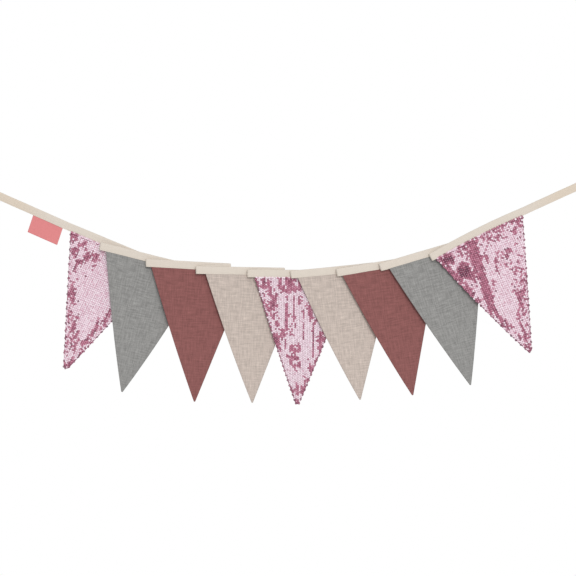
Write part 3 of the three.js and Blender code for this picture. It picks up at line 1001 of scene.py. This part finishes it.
def row_grid(flag, sewing, random):
    """Each sequin's place across, its drop and the number of its row."""
    row_pitch, pitch = sewing.row_pitch * MM, sewing.pitch * MM
    row_numbers = np.arange(int(GRID_REACH / row_pitch))
    numbers = np.arange(-ROWS_ABOVE, int(GRID_REACH / pitch))
    rows, numbers = (grid.ravel() for grid in np.meshgrid(row_numbers, numbers, indexing="ij"))
    across = rows * row_pitch + random.normal(0, ACROSS_SPREAD, rows.shape)
    drop = (numbers + 0.5 * (rows % 2) + 0.5) * pitch
    drop += random.normal(0, DROP_SPREAD, rows.shape)
    along = across - flag.skew * drop
    slant = math.hypot(1, flag.drop / (FLAG_WIDTH / 2))
    inside = (outline_drop(flag, along) - drop > EDGE_MARGIN * slant) & (drop > -TOP_MARGIN)
    inside &= (along > EDGE_MARGIN) & (along < FLAG_WIDTH - EDGE_MARGIN)
    return across[inside], drop[inside], rows[inside]


def surface_axes(flag, across, drop):
    """A place on the cloth, with the directions to the right, up the row and out of the front."""

    def surface(across, drop):
        return cloth_point(flag, across - flag.skew * drop, drop)

    place, front = surface(across, drop), cloth_front(surface, across, drop)
    up = unit(surface(across, drop - SURFACE_STEP) - surface(across, drop + SURFACE_STEP))
    return place, unit(np.cross(up, front)), up, front


def sew_rows(flag, sewing, random):
    """The places, directions, sizes and tones of the sequins in rows."""
    across, drop, rows = row_grid(flag, sewing, random)
    shift = random.normal(0, ROW_SHIFT, rows.max() + 1)[rows]
    brushed = brushed_up(flag, across, drop + shift)
    chance = random.normal(0, sewing.chance, across.shape)
    turned = brushed + chance * (brushed > CHANCE_START) > TURNED_START
    plum = np.clip(brushed - PLUM_START, 0, PLUM_MOST) * PLUM_SHADE
    dark = random.normal(DARK_TONE, DARK_SPREAD, across.shape) - plum
    light = random.normal(LIGHT_TONE, LIGHT_SPREAD, across.shape)
    behind = sewing.alternate * (rows % 2)
    # Rows that lie behind get a painted shade: their tone is lowered.
    tone = np.where(turned, dark, light) - BEHIND_SHADE * behind
    tilt = np.where(turned, DARK_TILT, LIGHT_TILT) + random.normal(0, TILT_SPREAD, across.shape)
    roll = random.normal(0, ROLL_SPREAD, across.shape)
    lift = LIFT - BEHIND * behind + random.normal(0, LIFT_SPREAD, across.shape)
    hanging = (drop < HANG_MOST) & (random.uniform(size=across.shape) < HANG_SHARE)
    hanging |= drop < HANG_ALL
    lift = np.where(hanging, HANG_LIFT, lift)
    drawn_up = np.where(hanging, random.uniform(*DRAWN_UP, across.shape) * drop.clip(0), 0)
    size = random.normal(sewing.size, SIZE_SPREAD, across.shape)

    place, right, up, front = surface_axes(flag, across, drop)
    place = place + up * drawn_up[:, None] + front * lift[:, None]
    up, facing = turned_pair(up, front, tilt)
    right, facing = turned_pair(right, facing, roll)
    return place, np.stack((right, up, facing), axis=1), size, tone


def edge_places(flag, pitch, random):
    """Places along both long edges, with the side of the flag that each is on."""
    places = []
    tip = flag.tip_column
    for side, corner in ((-1, 0), (1, FLAG_WIDTH)):
        length = math.hypot(tip - corner, flag.drop)
        distance = np.arange(FIRST_EDGE * pitch, length - TIP_CLEAR, pitch)
        distance += random.normal(0, EDGE_UNEVEN * pitch, distance.shape)
        along = corner + (tip - corner) * np.clip(distance / length, *EDGE_LIMITS)
        places.append(np.stack((along, outline_drop(flag, along), np.full(along.shape, side))))
    along, drop, side = np.concatenate(places, axis=1)
    return along + flag.skew * drop, drop, side


def sew_edges(flag, sewing, random):
    """The places, directions, sizes and tones of the sequins that go round the flag's edges."""
    across, drop, side = edge_places(flag, sewing.edge_pitch * MM, random)
    place, right, up, front = surface_axes(flag, across, drop)
    edge_turn = math.atan2(FLAG_WIDTH / 2, flag.drop)
    outwards = right * (side * math.cos(edge_turn))[:, None] - up * math.sin(edge_turn)
    along_edge = np.cross(front, outwards)
    facing, _ = turned_pair(front, outwards, random.uniform(*EDGE_LEAN, across.shape))
    axes = np.stack((along_edge, np.cross(facing, along_edge), facing), axis=1)
    place = place - outwards * EDGE_INWARDS + front * EDGE_LIFT
    tone = EDGE_TONE + random.normal(0, EDGE_SPREAD, across.shape)
    return place, axes, np.full(len(place), EDGE_SIZE), tone


def sew_sequins(flag):
    sewing = named(SEWING_COLUMNS, SEWING[flag.number])
    random = np.random.default_rng(SEED * flag.number)
    sewn = sew_rows(flag, sewing, random), sew_edges(flag, sewing, random)
    *placing, tones = (np.concatenate(columns) for columns in zip(*sewn))
    piece = joined_copies(f"flag_{flag.number}_sequins", sequin_points, sequin_faces, *placing)
    write_attribute(piece, "tone", "FACE", np.repeat(np.clip(tones, 0, 1), len(sequin_faces)))
    is_thread = np.tile(sequin_middle, len(tones)).astype(np.int32)
    piece.data.polygons.foreach_set("material_index", is_thread)
    piece.data.shade_flat()
    return piece


sequin_pieces = {flag.number: sew_sequins(flag) for flag in flags if flag.cloth == "sequin"}
for number, piece in sequin_pieces.items():
    print(f"flag {number} has {len(piece.data.polygons) // len(sequin_faces)} sequins")

# %% [markdown]
# ## The finish of a sequin
#
# A sequin is coloured film with a shiny coat. Its colour runs from deep plum over rose to a pale,
# almost white pink, by the tone that it was given when it was sewn on. It is partly metallic, so
# that it takes the colour of the light and still keeps its own. A tiny spot of thread sits in the
# middle.

# %% The finish of a sequin
FILM_TONES = (
    (0.00, (0.110, 0.014, 0.048)),
    (0.20, (0.290, 0.066, 0.125)),
    (0.42, (0.540, 0.175, 0.270)),
    (0.62, (0.700, 0.410, 0.510)),
    (0.80, (0.880, 0.700, 0.785)),
    (1.00, (0.960, 0.850, 0.905)),
)


def fine_noise(tree, scale, spread, least):
    """Noise over the piece itself, from least up by the spread."""
    place = add_node(tree, "TexCoord").outputs["Object"]
    noise = add_node(tree, "TexNoise", {"Scale": scale, "Vector": place}).outputs[0]
    return calculate("MULTIPLY_ADD", noise, spread, least)


def make_sequin_material(name):
    material, tree = new_material(name)
    tone = add_node(tree, "Attribute", attribute_name="tone").outputs["Fac"]
    colours = add_node(tree, "ValToRGB", {0: tone})
    stops = colours.color_ramp.elements
    while len(stops) < len(FILM_TONES):
        stops.new(0.5)
    for stop, (position, colour) in zip(stops, FILM_TONES):
        stop.position = position
        stop.color = (*colour, 1)
    looks = {
        "Base Color": colours.outputs[0],
        "Roughness": fine_noise(tree, scale=900, spread=0.2, least=0.34),
        "Metallic": 0.30,
        "Coat Weight": 0.05,
        "Coat Roughness": 0.12,
    }
    fill(tree.nodes["Principled BSDF"], looks)
    return material


def make_thread_material(name, colour):
    material, tree = new_material(name)
    colour = scaled(colour, fine_noise(tree, scale=1500, spread=0.3, least=0.85))
    fill(tree.nodes["Principled BSDF"], {"Base Color": colour, "Roughness": 0.75})
    return material


sequin_film = make_sequin_material("Rose sequin film")
sequin_thread = make_thread_material("Sequin thread", (0.85, 0.68, 0.76))
for piece in sequin_pieces.values():
    piece.data.materials.append(sequin_film)
    piece.data.materials.append(sequin_thread)
    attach(piece, "root")
print("the sequins shine")

# %% [markdown]
# ## The tape
#
# The tape is one long strip of cotton, folded lengthwise over the heads of the flags. Its section
# is a narrow arch that is open below. That section is carried along the whole garland: down to the
# right along each flag, round a fold to the back, behind the next flag, and round a fold to the
# front again. Where it holds nothing, its two walls are stitched together.

# %% The tape
TAPE_STEP = 4 * MM
TURN_STEPS = 10
# Heights above the lower edge, with the outer and the inner distance from the middle, all in
# millimetres. The walls draw together at the stitch line.
WALL = (
    (0.00, 0.98, 0.80),
    (0.30, 1.14, 0.72),
    (1.10, 1.16, 0.72),
    (2.00, 0.98, 0.60),
    (2.90, 1.14, 0.72),
    (4.60, 1.24, 0.82),
    (7.00, 1.28, 0.86),
    (9.60, 1.26, 0.84),
    (12.00, 1.20, 0.80),
    (13.30, 1.02, 0.62),
    (14.10, 0.66, 0.34),
    (14.50, 0.00, 0.00),
)


def tape_stations():
    """Places of the lower edge along the tape, its direction upwards there and its slot's depth."""
    turns = np.linspace(0, math.pi, TURN_STEPS + 1)
    slot_depths = (GROOVE_DEPTH, SLOT_DEPTH, SLOT_DEPTH, GROOVE_DEPTH)
    places, downs, slots = [], [], []
    for flag, following in zip(flags, [*flags[1:], None]):
        end = last_length if flag is last_flag else flag.run
        along = np.linspace(-flag.lead, end, round((end + flag.lead) / TAPE_STEP))
        down = np.tile(flag.column_down, (len(along), 1))
        if following:
            fold_end = flag.run + math.pi * FOLD_RADIUS
            end = fold_end + flag.return_length
            back = np.linspace(fold_end, end, round(flag.return_length / TAPE_STEP) + 2)[1:-1]
            along = np.concatenate((along, flag.run + FOLD_RADIUS * turns[1:], back))
            share = np.clip((along - fold_end) / flag.return_length, 0, 1)[:, None]
            down = flag.column_down * (1 - share) + following.column_down * share
        held_start = -LABEL_START if flag is first_flag else 0
        slots.append(np.interp(along, (-flag.lead, held_start, FLAG_WIDTH, end), slot_depths))
        places.append(cloth_point(flag, along, np.zeros(len(along))))
        downs.append(down)
        if following:
            edge = lower_edge(following, -following.lead)
            edge = edge - FOLD_RADIUS * np.sin(turns)[:-1, None] * following.direction
            depth = -BACK_DEPTH - FOLD_RADIUS * (1 - np.cos(turns[:-1]))
            places.append(np.stack((edge[:, 0], depth, edge[:, 1]), axis=-1))
            downs.append(np.tile(following.column_down, (TURN_STEPS, 1)))
            slots.append(np.full(TURN_STEPS, GROOVE_DEPTH))
    down_x, down_z = np.concatenate(downs).T
    up = np.stack((-down_x, np.zeros(len(down_x)), -down_z), axis=-1)
    return np.concatenate(places), up, np.concatenate(slots)


tape_lower, tape_up, tape_slot = tape_stations()
tape_front = unit(np.cross(-tape_up, np.gradient(tape_lower, axis=0)))
tape_steps = np.linalg.norm(np.diff(tape_lower, axis=0), axis=1)
tape_length = np.concatenate(([0], np.cumsum(tape_steps)))
print(f"the tape is {tape_length[-1]:.3f} m long, in {len(tape_length)} stations")

# %% [markdown]
# ## Weaving the tape's mesh
#
# Each station of the tape becomes a ring of points: up the front wall, over the top, down the back
# wall, and back again on the inside. Soft waves of a tenth of a millimetre keep the long edges from
# looking ruled.

# %% Weaving the tape's mesh
# Distances from either end, within which the tape's painted tint fades away: warmer and a little darker
# where no flag lies inside and more light passes through the thinner cloth.
BARE_ENDS = (80 * MM, 140 * MM)
# How large the soft waves are, and how many millimetres of tape make a radian of each.
SWAY, SWAY_PERIODS = 0.05 * MM, (31, 17, 7.7)
SWELL, SWELL_PERIODS = 0.02, (23, 11, 6.1)


def wave(length, size, periods):
    return size * sum(np.sin(length / (period * MM) + number) for number, period in enumerate(periods))


def make_tape():
    height, outer, inner = (np.array(WALL) * MM).T
    over = np.concatenate((height, height[-2::-1]))
    roof = np.minimum(tape_slot / height.max(), 1)
    sway = wave(tape_length, SWAY, SWAY_PERIODS)
    swell = 1 + wave(tape_length, SWELL, SWELL_PERIODS)
    rings = []
    for wall, scale, order in ((outer, np.ones(len(roof)), 1), (inner, roof, -1)):
        aside = np.concatenate((wall, -wall[-2::-1]))[::order]
        along_up = over[None, :] * scale[:, None] + sway[:, None]
        stand = aside[None, :] * swell[:, None]
        ring = tape_lower[:, None, :] + along_up[..., None] * tape_up[:, None, :]
        rings.append(ring + stand[..., None] * tape_front[:, None, :])
    points = np.concatenate(rings, axis=1)
    stations, size = points.shape[:2]
    index = np.arange(stations * size).reshape(stations, size)
    ahead = np.roll(index, -1, axis=1)
    sides = np.stack((index[:-1], index[1:], ahead[1:], ahead[:-1]), axis=-1).reshape(-1, 4)
    outside = np.arange(len(over))
    inside = size - 1 - outside
    cap = np.stack((outside[:-1], outside[1:], inside[1:], inside[:-1]), axis=-1)
    faces = np.concatenate((sides, index[0][cap], index[-1][cap][:, ::-1]))
    unfolded = np.concatenate((height, 2 * height.max() - height[-2::-1]))
    across = np.concatenate((unfolded, unfolded[::-1]))
    flat = np.stack(np.broadcast_arrays(tape_length[:, None], across[None, :]), axis=-1)
    piece = cloth_piece("tape_cloth", points.reshape(-1, 3), faces, flat.reshape(-1, 2))
    from_end = np.minimum(tape_length, tape_length[-1] - tape_length)
    bare = np.repeat(np.interp(from_end, BARE_ENDS, (1, 0)), size)
    write_attribute(piece, BARE_ATTRIBUTE, "POINT", bare)
    piece.data.materials.append(tape_cotton)
    return piece


tape = make_tape()
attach(tape, "root")
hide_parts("tape")
print(f"the tape's cloth has {len(tape.data.polygons)} faces")

# %% [markdown]
# ## The stitches
#
# One line of machine stitches closes the tape over the flags, two millimetres above its lower edge.
# A stitch is a short thread that dips into the cloth at both ends. It is modelled once, from a
# small cylinder whose ends are drawn in and pushed down, and copied along the front and the back.

# %% The stitches
STITCH_PITCH = 3.1 * MM
STITCH_LENGTH = 2.5 * MM
STITCH_RADIUS = 0.19 * MM
STITCH_HEIGHT = 2.0 * MM
STITCH_STAND = 1.04 * MM
# The straight part of a stitch, in shares of its length, and how its ends are shaped.
STITCH_STRAIGHT, STITCH_END, STITCH_DIP, STITCH_TAPER = 0.6, 0.2, 1.3, 0.6


def make_stitch():
    straight = STITCH_LENGTH * STITCH_STRAIGHT
    sideways = (0, math.pi / 2, 0)
    bpy.ops.mesh.primitive_cylinder_add(
        vertices=6, radius=STITCH_RADIUS, depth=straight, rotation=sideways
    )
    bpy.ops.object.transform_apply(rotation=True)
    for side in (1, -1):
        select_end(0, side)
        outwards = (side * STITCH_LENGTH * STITCH_END, 0, -STITCH_RADIUS * STITCH_DIP)
        bpy.ops.mesh.extrude_region_move(TRANSFORM_OT_translate={"value": outwards})
        bpy.ops.transform.resize(value=(1, STITCH_TAPER, STITCH_TAPER))
    bpy.ops.object.mode_set(mode="OBJECT")
    return take_apart()


def follow(values, length):
    return np.stack([np.interp(length, tape_length, column) for column in values.T], axis=-1)


def sew_stitches():
    length = np.arange(2 * STITCH_PITCH, tape_length[-1] - 2 * STITCH_PITCH, STITCH_PITCH)
    up, front = unit(follow(tape_up, length)), unit(follow(tape_front, length))
    step = STITCH_LENGTH * 0.4
    ahead = unit(follow(tape_lower, length + step) - follow(tape_lower, length - step))
    middle = follow(tape_lower, length) + up * STITCH_HEIGHT
    places, axes = [], []
    for side in (1, -1):
        places.append(middle + front * (side * STITCH_STAND))
        axes.append(np.stack((ahead * side, np.cross(front, ahead), front * side), axis=1))
    places, axes = np.concatenate(places), np.concatenate(axes)
    piece = joined_copies("tape_stitches", *make_stitch(), places, axes, np.ones(len(places)))
    piece.data.shade_smooth()
    return piece


stitches = sew_stitches()
stitches.data.materials.append(make_thread_material("Stitching thread", (0.70, 0.62, 0.53)))
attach(stitches, "root")
print(f"the stitches have {len(stitches.data.polygons)} faces")

# %% [markdown]
# ## The label
#
# A small woven label is caught in the tape left of the first flag. It is left plain. Its sheet is
# made like a flag's, and it bows forward a little towards its free edge.

# %% The label
LABEL_HALF_THICKNESS = 0.32 * MM
LABEL_BOW = 1.0 * MM
LABEL_RIPPLE, LABEL_RIPPLE_LENGTH = 0.25 * MM, 9 * MM
# The width of the painted shade along the label's round edges.
LABEL_EDGE_SHADE_WIDTH = 0.9 * MM
LABEL_COLUMNS, LABEL_ROWS = 30, 24


def label_point(along, drop):
    below = np.maximum(drop, 0) / LABEL_HEIGHT
    edge = lower_edge(first_flag, along) + drop[..., None] * first_flag.column_down
    bow = LABEL_BOW * below**2 + LABEL_RIPPLE * np.sin(along / LABEL_RIPPLE_LENGTH) * below
    return np.stack((edge[..., 0], depth_along(first_flag, along) - bow, edge[..., 1]), axis=-1)


def make_label():
    along = near_both_ends(-LABEL_START, LABEL_WIDTH - LABEL_START, LABEL_COLUMNS)
    drop = near_both_ends(-HEAD, LABEL_HEIGHT, LABEL_ROWS)
    along, drop = np.meshgrid(along, drop, indexing="ij")
    from_side = np.minimum(along + LABEL_START, LABEL_WIDTH - LABEL_START - along)
    from_edge = np.minimum(from_side, np.minimum(drop + HEAD, LABEL_HEIGHT - drop))
    grid, half = (along, drop, from_edge), LABEL_HALF_THICKNESS
    # Painted shade along the label's round edges.
    edge_shade = np.exp(-((from_edge / LABEL_EDGE_SHADE_WIDTH) ** 2))
    piece = closed_sheet("label_cloth", label_point, grid, half, half, edge_shade)
    piece.data.materials.append(label_cloth)
    return piece


label = make_label()
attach(label, "root")
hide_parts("label")
print(f"the label is {LABEL_WIDTH / MM:.0f} by {LABEL_HEIGHT / MM:.0f} mm below the tape")

# %% [markdown]
# ## The sheets
#
# Cloth is bought and cut flat. Each flag, the tape and the label is a sheet of its own, and their
# number is printed here.

# %% The sheets
print(f"{len(flags) + 2} sheets are declared")
